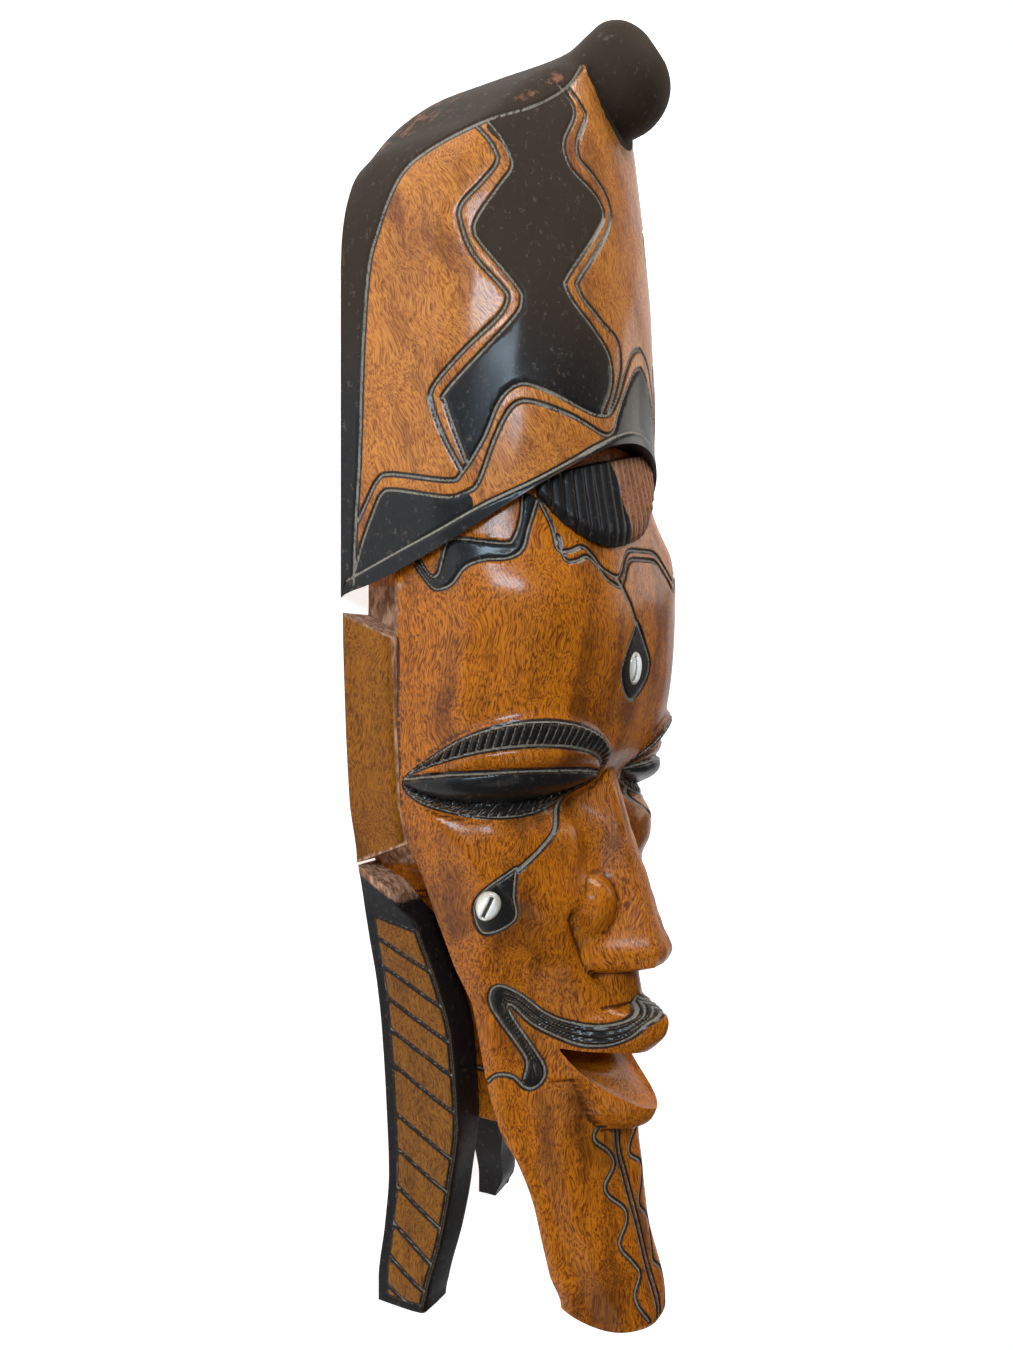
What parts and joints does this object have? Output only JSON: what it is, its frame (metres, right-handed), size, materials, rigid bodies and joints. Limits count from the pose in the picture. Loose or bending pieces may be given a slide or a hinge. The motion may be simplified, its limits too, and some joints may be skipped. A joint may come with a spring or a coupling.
{
  "type": "carved wooden mask",
  "caption": "Tall carved hardwood mask with a long face under a high zigzag-banded hat, narrow beard, side locks and inset cowrie shells, hollowed behind.",
  "frame": {"origin": "under the middle of the mask, in the plane that it lies on", "axes": "+Z is the way the face looks, +Y runs up to the top of the hat, +X is the viewer's right"},
  "size_m": [0.172, 0.594, 0.1192],
  "materials": {
    "carved_wood": "waxed golden brown hardwood with fine grain, and near-black stained bands with pale scraped grooves",
    "cowrie_shell": "glossy ivory shell with a dark toothed slit"
  },
  "bodies": {
    "root": {"mask_body": "carved_wood", "forehead_cowrie": "cowrie_shell", "right_cheek_cowrie": "cowrie_shell", "left_cheek_cowrie": "cowrie_shell"}
  },
  "joints": []
}
